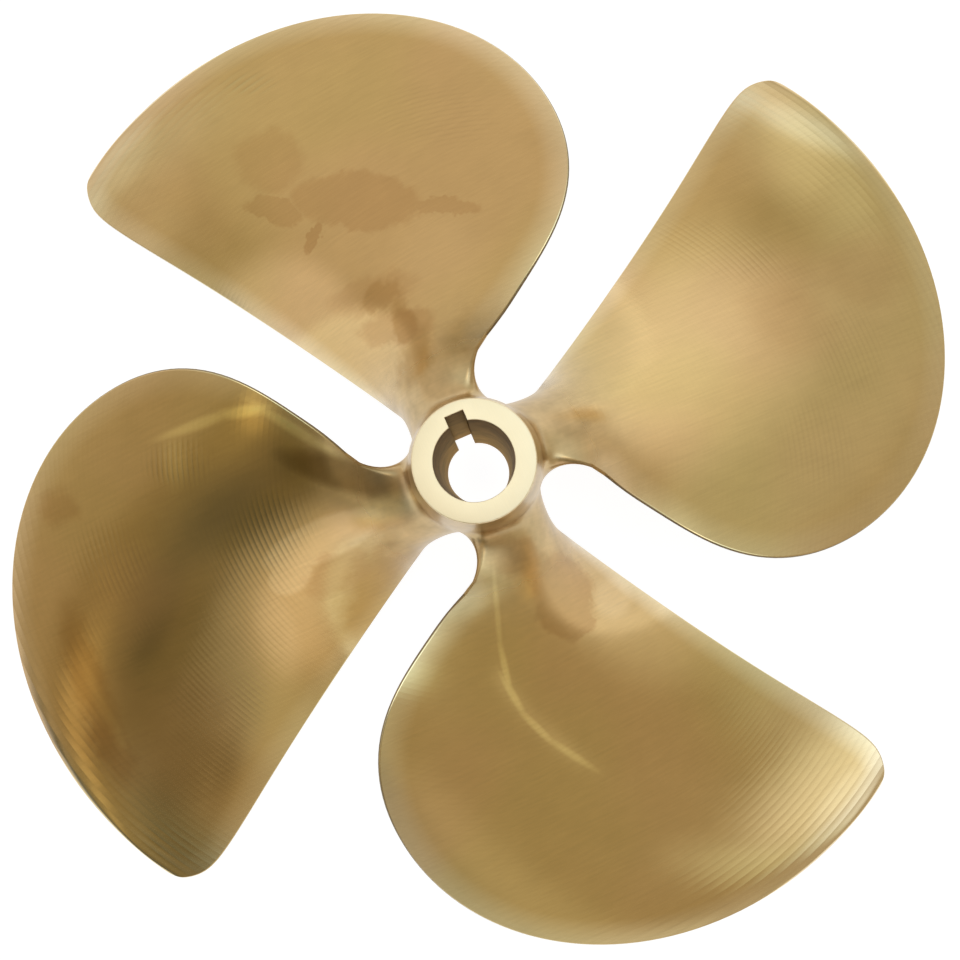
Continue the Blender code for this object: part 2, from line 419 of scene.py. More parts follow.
@dataclass(frozen=True)
class Blade:
    """One blade as a stack of sections on cylinders round the shaft."""

    hub: Hub = Hub()
    count: int = 4
    tip_r: float = 0.3556
    datum_deg: float = -23.3
    leading: Curve = Curve(((0.0, 50.0), (0.13, 32.9), (0.33, 9.9), (0.57, -11.5), (0.68, -18.1),
                            (0.76, -18.8), (0.83, -14.1), (0.868, -7.4), (0.90, 2.7), (0.935, 9.3)))
    trailing: Curve = Curve(((0.0, 50.0), (0.06, 52.6), (0.13, 54.1), (0.22, 55.4), (0.33, 55.9),
                             (0.57, 55.2), (0.80, 54.2), (0.935, 53.6)))
    pitch_ratio: tuple = (0.526, 1.545, -1.553)
    trailing_depth: tuple = (0.0977, 0.1334, -0.0861)
    axis_thickness: float = 0.0305
    tip_thickness: float = 0.0040
    thickness_power: float = 1.15
    edge_r: float = 0.0011
    root_edge_gain: float = 0.0032
    root_edge_power: float = 6.0
    face_share: float = 0.12
    most_inset: float = 0.4
    reach: float = 0.0147
    reach_gain: tuple = (-0.0025, 0.0062)
    rise: float = 0.0283
    rise_gain: tuple = (-0.0020, 0.0026)
    follow: float = 0.040
    chord_steps: int = 64
    nose_steps: int = 9
    nose_skip: int = 2
    fillet_rows: int = 18
    span_rows: int = 74
    tip_rows: int = 9

    def section(self, radius: float, flare: float) -> np.ndarray:
        """Points round one section.

        Args:
            radius: the cylinder's radius.
            flare: how far it grows outwards, as a share of the root fillet's reach.

        Returns:
            Columns of angle, height and the fillet's rise.
        """
        s = radius / self.tip_r
        u = math.sqrt(max(0.0, 1.0 - s))
        lead, trail = math.radians(self.leading.at(u)), math.radians(self.trailing.at(u))
        pitch = sum(f * s ** n for n, f in enumerate(self.pitch_ratio)) * 2.0 * self.tip_r
        trail_z = -sum(f * s ** n for n, f in enumerate(self.trailing_depth))
        lead_z = trail_z + pitch * (trail - lead) / TURN
        run = np.array((radius * (trail - lead), trail_z - lead_z))
        chord = float(np.hypot(*run))
        along = run / chord
        out = np.array((-along[1], along[0]))
        edge = self.edge_r + self.root_edge_gain * (1.0 - s) ** self.root_edge_power
        past = (radius - (self.tip_r - edge)) / edge
        rounding = math.sqrt(max(0.0, 1.0 - past ** 2)) if past > 0.0 else 1.0
        spread = self.axis_thickness - self.tip_thickness
        thick = self.tip_thickness + spread * (1.0 - s) ** self.thickness_power
        bulge = max(0.0, thick - 2.0 * edge) * rounding
        inset = min(edge * rounding, self.most_inset * chord)
        core = chord - 2.0 * inset
        x = 0.5 - 0.5 * np.cos(np.linspace(0.0, math.pi, self.chord_steps + 1))
        sides = []
        for share, sign in ((1.0 - self.face_share, 1.0), (self.face_share, -1.0)):
            lean = share * bulge * 4.0 * (1.0 - 2.0 * x) / core
            point = np.outer(inset + x * core, along)
            point += np.outer(sign * share * bulge * 4.0 * x * (1.0 - x), out)
            normal = np.outer(-lean, along) + sign * out
            sides.append((point, normal / np.linalg.norm(normal, axis=1)[:, None]))
        (back, back_n), (face, face_n) = sides
        tail_n = self.nose(back_n[-1], face_n[-1], along)
        head_n = self.nose(face_n[0], back_n[0], -along)
        tail = np.repeat(back[-1:], self.nose_steps, axis=0)
        head = np.repeat(face[:1], self.nose_steps, axis=0)
        points = np.vstack((back, tail, face[::-1], head))
        normals = np.vstack((back_n, tail_n, face_n[::-1], head_n))
        reach = self.reach + normals @ np.array(self.reach_gain)
        rise = self.rise + normals @ np.array(self.rise_gain)
        flat = points + normals * (edge * rounding + flare * reach)[:, None]
        angles = lead + flat[:, 0] / radius + math.radians(self.datum_deg)
        return np.column_stack((angles, lead_z + flat[:, 1], rise))

    def nose(self, first: np.ndarray, last: np.ndarray, ahead: np.ndarray) -> np.ndarray:
        """Normals that turn round an edge from one side to the other.

        Args:
            first: the last normal of the side that ends here.
            last: the first normal of the side that starts here.
            ahead: direction out of the edge.

        Returns:
            Unit normals between the two.
        """
        out = first - ahead * np.dot(first, ahead)
        out /= np.linalg.norm(out)
        ends = [math.atan2(np.dot(n, ahead), np.dot(n, out)) for n in (first, last)]
        turn = np.linspace(*ends, self.nose_steps + 2)[1:-1]
        return np.outer(np.cos(turn), out) + np.outer(np.sin(turn), ahead)

    def edge_columns(self) -> list:
        """Find the faces that are finished as an edge.

        Returns:
            Columns of faces on the outer part of both rounded edges.
        """
        side, skip = self.chord_steps + 1, self.nose_skip
        tail = range(side + skip, side + self.nose_steps)
        head = range(2 * side + self.nose_steps, 2 * (side + self.nose_steps) - skip)
        return [*tail, *head]

    def fillet_top(self) -> float:
        """Greatest rise of the root fillet."""
        return self.rise + math.hypot(*self.rise_gain)

    def fillet_row(self, turn: float) -> np.ndarray:
        """One row of the root fillet.

        Args:
            turn: how far the fillet has turned, up to a quarter.

        Returns:
            Columns of radius, angle and height.
        """
        top, flare = self.fillet_top(), 1.0 - math.sin(turn)
        low, high = (self.section(self.hub.widest_r + rise, flare) for rise in (0.0, top))
        rise = (1.0 - math.cos(turn)) * low[:, 2]
        flat = low + (high - low) * (rise / top)[:, None]
        return np.column_stack((self.hub.widest_r + rise, flat[:, :2]))

    def span_row(self, radius: float) -> np.ndarray:
        """One row on a cylinder.

        Args:
            radius: the cylinder's radius.

        Returns:
            Columns of radius, angle and height.
        """
        flat = self.section(radius, 0.0)
        return np.column_stack((np.full(len(flat), radius), flat[:, :2]))

    def rows(self) -> list:
        """All rows from the hub's skin to the tip.

        Returns:
            Arrays of radius, angle and height.
        """
        low = self.hub.widest_r
        turns = np.linspace(0.0, 0.5 * math.pi, self.fillet_rows)
        start = math.sqrt(1.0 - (low + self.fillet_top()) / self.tip_r)
        tip = math.sqrt(self.edge_r / self.tip_r)
        spans = np.linspace(start, tip, self.span_rows)[1:]
        tips = np.linspace(tip, 0.0, self.tip_rows + 2)[1:-1]
        shaped = [self.fillet_row(turn) for turn in turns]
        shaped += [self.span_row(self.tip_r * (1.0 - u ** 2)) for u in (*spans, *tips)]
        for row in shaped:
            share = np.maximum(0.0, 1.0 - (row[:, 0] - low) / self.follow)
            row[:, 0] += (self.hub.radius(row[:, 2]) - low) * share
        return shaped


class Flat:
    """Filling of flat regions with triangles."""

    MERGE = 1e-9
    SLIVER = 1e-9

    @staticmethod
    def inside(loop: np.ndarray, points: np.ndarray) -> np.ndarray:
        """Which points lie inside a closed loop.

        Args:
            loop: the loop's corners.
            points: points to test.

        Returns:
            A truth value for each point.
        """
        px, py = points[:, 0][:, None], points[:, 1][:, None]
        ax, ay = loop[:, 0][None, :], loop[:, 1][None, :]
        bx, by = np.roll(ax, -1, axis=1), np.roll(ay, -1, axis=1)
        spans = (ay > py) != (by > py)
        level = np.where(by == ay, 1.0, by - ay)
        left = px < ax + (py - ay) * (bx - ax) / level
        return (spans & left).sum(axis=1) % 2 == 1

    @classmethod
    def fill(cls, outer: np.ndarray, hole: np.ndarray, extra: np.ndarray) -> np.ndarray:
        """Triangles between an outer loop and a hole.

        Args:
            outer: outer loop.
            hole: the hole's loop.
            extra: points strewn between them.

        Returns:
            Index triples into outer, hole and extra joined in this order.
        """
        points = np.vstack((outer, hole, extra))
        edges = []
        for first, size in ((0, len(outer)), (len(outer), len(hole))):
            edges += [(first + i, first + (i + 1) % size) for i in range(size)]
        made = delaunay_2d_cdt([Vector(p) for p in points], edges, [], 0, cls.MERGE)
        order = np.array([origin[0] for origin in made[3]])
        faces = np.array([face[:3] for face in made[2]])
        spot = np.array([tuple(v) for v in made[0]])
        a, b, c = (spot[faces[:, i]] for i in range(3))
        centre = (a + b + c) / 3.0
        area = np.abs(np.cross(b - a, c - a))
        keep = (area > cls.SLIVER) & cls.inside(outer, centre) & ~cls.inside(hole, centre)
        return order[faces[keep]]


class MeshParts:
    """Vertices and faces gathered before one mesh is made."""

    def __init__(self) -> None:
        """Start empty."""
        self.points: list = []
        self.faces: list = []
        self.regions: list = []
        self.size = 0

    def add(self, points: np.ndarray, faces: np.ndarray, region: Region) -> None:
        """Add points and the faces on them.

        Args:
            points: three columns.
            faces: rows of indices into points.
            region: finish of these faces.
        """
        self.points.append(points)
        self.faces += (np.asarray(faces) + self.size).tolist()
        self.regions += [region.value] * len(faces)
        self.size += len(points)

    def rings(self, rings: Sequence[np.ndarray], region: Region, edge: Sequence[int] = ()) -> None:
        """Add quads between equal closed rings.

        Args:
            rings: point arrays of one length.
            region: finish of these faces.
            edge: columns that are finished as an edge instead.
        """
        count = len(rings[0])
        here = np.arange(count)
        there = (here + 1) % count
        quads = [np.column_stack((here + k * count, there + k * count,
                                  there + (k + 1) * count, here + (k + 1) * count))
                 for k in range(len(rings) - 1)]
        self.add(np.vstack(rings), np.vstack(quads), region)
        for column in edge:
            first = len(self.regions) - len(quads) * count + column
            self.regions[first::count] = [Region.EDGE.value] * len(quads)


@dataclass
class Casting:
    """The whole propeller: hub, bore and blades in one closed mesh."""

    blade: Blade = Blade()
    bore: Bore = Bore()
    columns: int = 44
    rows: int = 40
    clear_rows: float = 0.5
    lean: float = -11.0
    sharp_deg: float = 28.0
    rim: float = 0.018
    weld: float = 1e-6

    @staticmethod
    def place(radius: np.ndarray, angle: np.ndarray, z: np.ndarray) -> np.ndarray:
        """Points of cylindrical positions.

        Args:
            radius: radii.
            angle: angles.
            z: heights.

        Returns:
            Three columns.
        """
        radius, angle, z = np.broadcast_arrays(radius, angle, z)
        return np.column_stack((radius * np.cos(angle), radius * np.sin(angle), z))

    def add_blades(self, parts: MeshParts) -> np.ndarray:
        """Add every blade.

        Args:
            parts: where the faces go.

        Returns:
            The footprint of the first blade on the hub.
        """
        rows = self.blade.rows()
        for number, region in enumerate(BLADES):
            turn = TURN * number / self.blade.count
            rings = [self.place(r[:, 0], r[:, 1] + turn, r[:, 2]) for r in rows]
            root = self.blade.fillet_rows
            parts.rings(rings[:root + 1], region)
            parts.rings(rings[root:], region, self.blade.edge_columns())
            last = rows[-1]
            ring = self.place(last[:, 0], last[:, 1] + turn, last[:, 2])
            middle = self.place(self.blade.tip_r, last[:, 1].mean() + turn, last[:, 2].mean())
            i = np.arange(len(ring))
            fan = np.column_stack((i, (i + 1) % len(ring), np.full(len(ring), len(ring))))
            parts.add(np.vstack((ring, middle)), fan, Region.EDGE)
        return rows[0]

    def add_skin(self, parts: MeshParts, footprint: np.ndarray) -> float:
        """Add the hub's outer skin around the blade roots.

        Args:
            parts: where the faces go.
            footprint: the first blade's lowest row.

        Returns:
            Angle of the sector's edge at height zero.
        """
        hub = self.blade.hub
        sweep = TURN / self.blade.count
        upright = footprint[:, 1] - self.lean * footprint[:, 2]
        left = 0.5 * (upright.min() + upright.max()) - 0.5 * sweep
        angles = left + sweep * np.linspace(0.0, 1.0, self.columns + 1)
        heights = np.linspace(-hub.rim, hub.rim - hub.length, self.rows + 1)
        top, bottom = heights[0], heights[-1]
        edge = [(a, top) for a in angles] + [(angles[-1], z) for z in heights[1:]]
        edge += [(a, bottom) for a in angles[::-1][1:]]
        edge += [(angles[0], z) for z in heights[::-1][1:-1]]
        grid = np.array([(a, z) for a in angles[1:-1] for z in heights[1:-1]])
        scale = np.array((hub.widest_r, 1.0))
        outer, grid = (self.leant(np.array(g)) * scale for g in (edge, grid))
        loop = footprint[:, 1:] * scale
        gap = np.linalg.norm(grid[:, None, :] - loop[None, :, :], axis=2).min(axis=1)
        clear = (gap > self.clear_rows * hub.length / self.rows) & ~Flat.inside(loop, grid)
        extra = grid[clear]
        faces = Flat.fill(outer, loop, extra)
        flat = np.vstack((outer, loop, extra)) / scale
        for number in range(self.blade.count):
            turn = TURN * number / self.blade.count
            points = self.place(hub.radius(flat[:, 1]), flat[:, 0] + turn, flat[:, 1])
            parts.add(points, faces, Region.SKIN)
        return left

    def leant(self, flat: np.ndarray) -> np.ndarray:
        """Flat points turned with height, in radians per metre, as the sector's edges lean."""
        return flat + np.outer(self.lean * flat[:, 1], (1.0, 0.0))

    def add_ends(self, parts: MeshParts, left: float) -> None:
        """Add the rounded rims and the flat end faces.

        Args:
            parts: where the faces go.
            left: angle of the sector's edge at height zero.
        """
        hub = self.blade.hub
        count = self.columns * self.blade.count
        for forward in (True, False):
            profile = hub.rim_profile(forward)
            around = left + self.lean * profile[0][1] + TURN * np.arange(count) / count
            rings = [self.place(np.array(r), around, np.array(z)) for r, z in profile]
            parts.rings(rings, Region.RING)
            face_z = profile[-1][1]
            mouth = self.bore.outline(0.0 if forward else -hub.length, self.bore.chamfer)
            rim = rings[-1][:, :2]
            faces = Flat.fill(rim, mouth, np.empty((0, 2)))
            flat = np.vstack((rim, mouth))
            parts.add(np.column_stack((flat, np.full(len(flat), face_z))), faces, Region.RING)

    def add_bore(self, parts: MeshParts) -> None:
        """Add the walls of the bore and keyway.

        Args:
            parts: where the faces go.
        """
        end, chamfer = self.blade.hub.length, self.bore.chamfer
        levels = [(0.0, chamfer), (-chamfer, 0.0), (chamfer - end, 0.0), (-end, chamfer)]
        rings = []
        for z, grow in levels:
            flat = self.bore.outline(z, grow)
            rings.append(np.column_stack((flat, np.full(len(flat), z))))
        parts.rings(rings[:2], Region.RING)
        parts.rings(rings[1:3], Region.BORE)
        parts.rings(rings[2:], Region.RING)

    def build(self, name: str, finishes: Sequence[bpy.types.Material]) -> bpy.types.Object:
        """Make the object, lowest point on the floor.

        Args:
            name: the object's name.
            finishes: one material for each Region.

        Returns:
            The object.
        """
        parts = MeshParts()
        footprint = self.add_blades(parts)
        left = self.add_skin(parts, footprint)
        self.add_ends(parts, left)
        self.add_bore(parts)
        points = np.vstack(parts.points)
        points[:, 2] -= points[:, 2].min()
        data = bpy.data.meshes.new(name)
        data.from_pydata(points.tolist(), [], parts.faces)
        data.polygons.foreach_set("material_index", parts.regions)
        self.close(data)
        self.mark_rims(data)
        for finish in finishes:
            data.materials.append(finish)
        piece = bpy.data.objects.new(name, data)
        bpy.context.scene.collection.objects.link(piece)
        return piece

    def mark_rims(self, data: bpy.types.Mesh) -> None:
        """Store how near each point is to a ground edge, from 1 on it to 0 a rim away.

        Args:
            data: the mesh, with each face's material number set.
        """
        ground = (p for p in data.polygons if p.material_index == Region.EDGE.value)
        edge = {v for p in ground for v in p.vertices}
        tree = KDTree(len(edge))
        for index in sorted(edge):
            tree.insert(data.vertices[index].co, index)
        tree.balance()
        near = [max(0.0, 1.0 - tree.find(v.co)[2] / self.rim) for v in data.vertices]
        data.attributes.new(RIM, "FLOAT", "POINT").data.foreach_set("value", near)

    def close(self, data: bpy.types.Mesh) -> None:
        """Weld the regions, turn the faces outwards and smooth them.

        Args:
            data: the mesh.
        """
        mesh = bmesh.new()
        mesh.from_mesh(data)
        bmesh.ops.remove_doubles(mesh, verts=mesh.verts, dist=self.weld)
        bmesh.ops.recalc_face_normals(mesh, faces=mesh.faces)
        loose = [edge for edge in mesh.edges if len(edge.link_faces) != 2]
        log.info("casting: %d faces, %d open edges", len(mesh.faces), len(loose))
        mesh.to_mesh(data)
        mesh.free()
        data.shade_smooth()
        data.set_sharp_from_angle(angle=math.radians(self.sharp_deg))


# Finishes
class Kind(Enum):
    """What a mark changes: the colour, six ways (stains, brown blots, painted shade, and pale,
    golden or white painted highlights), or the depth of the cutter's rounds.
    """

    STAIN = 0
    BROWN = 1
    SHADE = 2
    PAINTED_HIGHLIGHT = 3
    PAINTED_GOLD_HIGHLIGHT = 4
    PAINTED_WHITE_HIGHLIGHT = 5
    CUT = 6


@dataclass(frozen=True)
class Mark:
    """One blotch of stain, painted shade or painted highlight, or a patch of deeper rounds, placed
    in millimetres right of and above the shaft in the picture.
    """

    kind: Kind
    right: float
    up: float
    long: float
    wide: float
    turn_deg: float
    strength: float = 1.0
    soft: float = 0.13

    def mask(self, shader: Shader, at: Sock) -> Sock:
        """How strongly the mark shows at a point.

        Args:
            shader: the material.
            at: surface point, shaken beforehand where the mark's edge is ragged.

        Returns:
            From 0 outside to its strength inside.
        """
        centre = Matrix.Rotation(math.radians(PICTURE_DEG), 2) @ Vector((self.right, self.up)) * MM
        local = shader.node("ShaderNodeMapping", {"vector_type": "TEXTURE"}, {
            "Vector": at, "Location": (centre.x, centre.y, 0.0),
            "Rotation": (0.0, 0.0, math.radians(self.turn_deg + PICTURE_DEG)),
            "Scale": (self.long * MM, self.wide * MM, 1.0)})
        reach = shader.node("ShaderNodeVectorMath", {"operation": "LENGTH"}, {0: local}, "Value")
        return reach.rise(1.0 + self.soft, 1.0 - self.soft, self.strength)


MARKS = {
    # Painted highlight, painted shade and brown blots that run on from the blades over the hub's
    # skin
    Region.SKIN: (
        Mark(Kind.PAINTED_GOLD_HIGHLIGHT, -50, -27, 14, 7, 15, 0.7, 0.6),
        Mark(Kind.SHADE, -62, -12, 14, 5, -17, 0.8, 0.4),
        Mark(Kind.BROWN, -34, 37, 14, 8, -50, 0.5, 0.3),
        Mark(Kind.BROWN, 50, -40, 13, 8, -40, 0.4, 0.3),
    ),
    # Faint clouds of stain, painted highlights, the brightest a painted white one on the tip, and
    # three patches of rounds
    Region.TOP_RIGHT: (
        Mark(Kind.STAIN, 210, 101, 33, 23, -42, 0.4, 0.5),
        Mark(Kind.STAIN, 263, 138, 26, 25, 0, 0.4, 0.4),
        Mark(Kind.PAINTED_HIGHLIGHT, 162, 113, 57, 42, 25, 0.2, 0.6),
        Mark(Kind.PAINTED_HIGHLIGHT, 224, 247, 44, 12, -32, 0.7, 0.6),
        Mark(Kind.PAINTED_WHITE_HIGHLIGHT, 227, 248, 37, 9, -32, 0.4, 0.7),
        Mark(Kind.CUT, 168, 156, 40, 18, -25, 0.8, 0.4),
        Mark(Kind.CUT, 249, 78, 20, 32, -6, 1.1, 0.4),
        Mark(Kind.CUT, 220, 17, 22, 27, -6, 0.8, 0.4),
    ),
    # A long stain with arms, blots towards the hub, and painted highlights
    Region.TOP_LEFT: (
        Mark(Kind.STAIN, -81, 181, 48, 19, -11, 0.75),
        Mark(Kind.STAIN, -143, 183, 22, 9, -18, 0.75),
        Mark(Kind.STAIN, -23, 169, 26, 6, -11, 0.7),
        Mark(Kind.STAIN, -114, 160, 13, 5, 67),
        Mark(Kind.STAIN, -145, 216, 25, 21, -24, 0.6, 0.25),
        Mark(Kind.STAIN, -70, 117, 31, 12, 6, 0.6, 0.3),
        Mark(Kind.STAIN, -53, 93, 27, 12, 0, 0.9, 0.2),
        Mark(Kind.BROWN, -64, 114, 14, 10, 12, 0.5, 0.3),
        Mark(Kind.BROWN, -46, 94, 18, 8, -64, 0.6, 0.3),
        Mark(Kind.BROWN, -40, 70, 18, 10, 70, 0.7, 0.5),
        Mark(Kind.PAINTED_HIGHLIGHT, -23, 132, 27, 33, 12, 0.3, 0.6),
        Mark(Kind.PAINTED_HIGHLIGHT, -212, 164, 45, 18, -38, 0.5, 0.6),
        Mark(Kind.PAINTED_HIGHLIGHT, -256, 222, 30, 12, 50, 0.9, 0.6),
        Mark(Kind.CUT, -158, 272, 19, 7, -6, 1.8, 0.4),
        Mark(Kind.CUT, -28, 233, 38, 20, -18, 1, 0.4),
    ),
    # Darker stains and painted shade, lighter painted highlights, a painted golden highlight line
    # and a fainter one along the outer edge
    Region.LOW_LEFT: (
        Mark(Kind.STAIN, -93, -69, 23, 13, 35, 0.8, 0.3),
        Mark(Kind.STAIN, -276, -26, 15, 12, 0, 0.8, 0.4),
        Mark(Kind.STAIN, -251, -195, 25, 10, -60, 0.9, 0.5),
        Mark(Kind.BROWN, -67, -84, 42, 21, 59, 1, 0.5),
        Mark(Kind.BROWN, -266, -138, 45, 12, -75, 0.6, 0.5),
        Mark(Kind.SHADE, -84, -6, 40, 11, -15, 1, 0.4),
        Mark(Kind.SHADE, -72, -11, 22, 7, -17, 0.8, 0.4),
        Mark(Kind.SHADE, -128, -18, 48, 22, 21, 0.35, 0.8),
        Mark(Kind.SHADE, -177, -212, 35, 7, 72, 0.2, 0.8),
        Mark(Kind.SHADE, -264, -190, 24, 8, -65, 0.3, 0.8),
        Mark(Kind.PAINTED_HIGHLIGHT, -101, -48, 42, 13, 23, 1, 0.15),
        Mark(Kind.PAINTED_HIGHLIGHT, -124, -71, 17, 11, 37, 0.9, 0.2),
        Mark(Kind.PAINTED_HIGHLIGHT, -137, -107, 30, 12, -80, 0.4, 0.5),
        Mark(Kind.PAINTED_GOLD_HIGHLIGHT, -56, -26, 17, 8, 15, 0.9, 0.6),
        Mark(Kind.PAINTED_GOLD_HIGHLIGHT, -175, 25, 26, 3.2, 17, 0.8, 0.6),
        Mark(Kind.PAINTED_GOLD_HIGHLIGHT, -145, 32, 17, 3.6, 7, 1, 0.6),
        Mark(Kind.PAINTED_GOLD_HIGHLIGHT, -113, 21, 28, 3.2, -32, 0.9, 0.6),
        Mark(Kind.PAINTED_GOLD_HIGHLIGHT, -256, -162, 32, 3.5, -69, 0.3, 0.8),
        Mark(Kind.PAINTED_GOLD_HIGHLIGHT, -193, 2, 13, 8, 85, 0.4, 0.7),
        Mark(Kind.CUT, -191, 2, 20, 13, 0, 1.8, 0.4),
        Mark(Kind.CUT, -160, -116, 98, 27, 67, 1.7, 0.4),
        Mark(Kind.CUT, -215, -262, 19, 14, -43, 1.2, 0.4),
        Mark(Kind.CUT, -244, -61, 27, 22, -29, 1, 0.5),
    ),
    # A broad stain with a crisp outer edge, a painted golden highlight curving out from the root,
    # and a painted highlight on the tip with deep rounds
    Region.LOW_RIGHT: (
        Mark(Kind.STAIN, 58, -85, 30, 20, -79),
        Mark(Kind.STAIN, 65, -103, 13, 10, 12),
        Mark(Kind.STAIN, 27, -59, 22, 12, -25, 1, 0.4),
        Mark(Kind.PAINTED_HIGHLIGHT, 92, -86, 13, 13, 0, 0.7, 0.4),
        Mark(Kind.PAINTED_GOLD_HIGHLIGHT, 14, -95, 26, 1.7, -85, 0.45, 0.6),
        Mark(Kind.PAINTED_GOLD_HIGHLIGHT, 19, -130, 18, 2, -78, 0.7, 0.6),
        Mark(Kind.PAINTED_GOLD_HIGHLIGHT, 24, -147, 15, 2.2, -61, 0.7, 0.6),
        Mark(Kind.PAINTED_GOLD_HIGHLIGHT, 39, -168, 15, 2.2, -46, 0.7, 0.6),
        Mark(Kind.PAINTED_GOLD_HIGHLIGHT, 62, -187, 18, 2.2, -35, 0.6, 0.7),
        Mark(Kind.PAINTED_HIGHLIGHT, 252, -229, 37, 11, 47, 0.9, 0.6),
        Mark(Kind.CUT, 215, -200, 56, 44, -23, 0.5, 0.7),
    ),
}

# How strongly each blade gets the painted highlight along its edges
RIM_HIGHLIGHT_SHARES = {Region.TOP_RIGHT: 0.5, Region.TOP_LEFT: 0.8, Region.LOW_LEFT: 0.5, Region.LOW_RIGHT: 1.0}


@dataclass(frozen=True)
class Milled:
    """Satin bronze of the blades with the rounds of the milling cutter, stains, and painted shade
    and highlights.
    """

    name: str
    marks: tuple
    # Share of the painted highlight along the edges
    rim_highlight_share: float = 0.3
    colour: tuple = (0.70, 0.505, 0.225, 1.0)
    green: tuple = (0.98, 1.0, 0.95, 1.0)
    pink: tuple = (1.0, 0.97, 1.0, 1.0)
    dust: tuple = (0.64, 0.48, 0.27, 1.0)
    # Tints of the marks: stains and brown blots, then painted shade and painted highlights
    stain_and_painted_light_tints: tuple = (
        (Kind.STAIN, (0.86, 0.79, 0.74, 1.0)), (Kind.BROWN, (0.72, 0.61, 0.45, 1.0)),
        (Kind.SHADE, (0.52, 0.47, 0.40, 1.0)),
        (Kind.PAINTED_HIGHLIGHT, (1.16, 1.22, 1.38, 1.0)), (Kind.PAINTED_GOLD_HIGHLIGHT, (1.43, 1.56, 1.6, 1.0)),
        (Kind.PAINTED_WHITE_HIGHLIGHT, (1.40, 1.68, 2.3, 1.0)))
    # Tint of the painted highlight along the edges
    rim_highlight_tint: tuple = (1.32, 1.55, 2.2, 1.0)
    # Noises: scale, detail and roughness
    clouds: tuple = (16.0, 3.0, 0.65)
    grimes: tuple = (70.0, 2.0, 0.65)
    hues: tuple = (8.0, 1.0)
    ragged: tuple = (60.0, 3.0, 0.65)
    ragged_by: float = 0.019
    lines: tuple = (45.0, 700.0, 45.0)
    # Steps: where each starts and where it is full
    hue_step: tuple = (0.35, 0.65)
    # Where the painted shade on steeply tilted surfaces starts and where it is full, by the
    # normal's height
    steep_shade_step: tuple = (0.76, 0.66)
    dust_step: tuple = (0.12, 0.055)
    tip_step: tuple = (0.295, 0.345)
    # Rounds of the cutter
    pitch: float = 0.0035
    tip_pitch: float = 0.0048
    tip_from: float = 0.285
    depth_mm: float = 0.05
    height: float = 3.2
    tip_height: float = 0.7
    least_height: float = 0.2
    # How much each of them lightens or darkens
    tone: float = 1.02
    cloud_tone: float = 0.16
    grime_tone: float = 0.05
    dust_tone: float = 0.5
    ridge_tone: float = -0.07
    # Painted shade on steeply tilted surfaces
    steep_shade_tone: float = -0.15
    line_tone: float = 0.12
    # Surface
    dust_share: float = 0.7
    dust_metallic: float = -0.12
    roughness: float = 0.16
    cloud_roughness: float = 0.12
    dust_roughness: float = 0.16

    def shares(self, at: Sock, shaken: Sock) -> dict:
        """How much of each kind of mark there is at a point.

        Args:
            at: surface point.
            shaken: the same, moved about so that the edges of blots are ragged.

        Returns:
            Kind to share.
        """
        found: dict = {}
        for mark in self.marks:
            share = mark.mask(at.shader, shaken if mark.kind in (Kind.STAIN, Kind.BROWN) else at)
            if mark.kind in found:
                share = found[mark.kind].math("MAXIMUM", share)
            found[mark.kind] = share
        return found

    def shake(self, shader: Shader, at: Sock) -> Sock:
        """Move a point about by a noise.

        Args:
            shader: the material.
            at: surface point.

        Returns:
            The moved point.
        """
        noise = shader.noise(at, *self.ragged, output="Color")
        centred = shader.node("ShaderNodeVectorMath", {"operation": "SUBTRACT"},
                              {0: noise, 1: (0.5, 0.5, 0.5)})
        return shader.scaled(self.ragged_by, centred, at)

    def make(self) -> bpy.types.Material:
        """Build the material.

        Returns:
            The material.
        """
        shader = Shader(self.name)
        at, x, y, _ = shader.position()
        radius = (x * x + y * y).math("SQRT")
        cloud = shader.noise(at, *self.clouds) - 0.5
        grime = shader.noise(at, *self.grimes) - 0.5
        line = shader.noise(shader.brushed(at, self.lines), 1.0, 1.0) - 0.5
        hue = shader.noise(at, *self.hues).rise(*self.hue_step)
        normal = shader.node("ShaderNodeNewGeometry", output="Normal")
        # Painted shade: the more steeply the surface tilts, the darker its colour
        steep_shade = shader.node("ShaderNodeSeparateXYZ", {}, {0: normal}, 2).rise(*self.steep_shade_step)
        rim = shader.node("ShaderNodeAttribute", {"attribute_name": RIM}, output="Fac")
        dusty = radius.rise(*self.dust_step)
        shares = self.shares(at, self.shake(shader, at))
        ridge = self.ridge(radius, shares.get(Kind.CUT, 0.0))
        colour = shader.tinted(shader.blend(hue, self.green, self.pink), self.colour)
        colour = shader.blend(dusty * self.dust_share, colour, self.dust)
        # Stains, brown blots, painted shade and painted highlights, each by its tint
        for kind, tint in self.stain_and_painted_light_tints:
            if kind in shares:
                colour = shader.blend(shares[kind], colour, shader.tinted(colour, tint))
        # Painted highlight along the ground edges, following the rim attribute
        rim_highlight_colour = shader.tinted(colour, self.rim_highlight_tint)
        colour = shader.blend(rim * self.rim_highlight_share, colour, rim_highlight_colour)
        tone = cloud * self.cloud_tone + grime * (dusty * self.dust_tone + self.grime_tone)
        tone = tone + ridge * self.ridge_tone + steep_shade * self.steep_shade_tone
        tone = tone + line * self.line_tone + self.tone
        rough = cloud * self.cloud_roughness + dusty * self.dust_roughness + self.roughness
        shader.set(
            Base_Color=shader.toned(colour, tone), Metallic=dusty * self.dust_metallic + 1.0,
            Roughness=rough, Normal=shader.relief(ridge * self.depth_mm))
        return shader.material

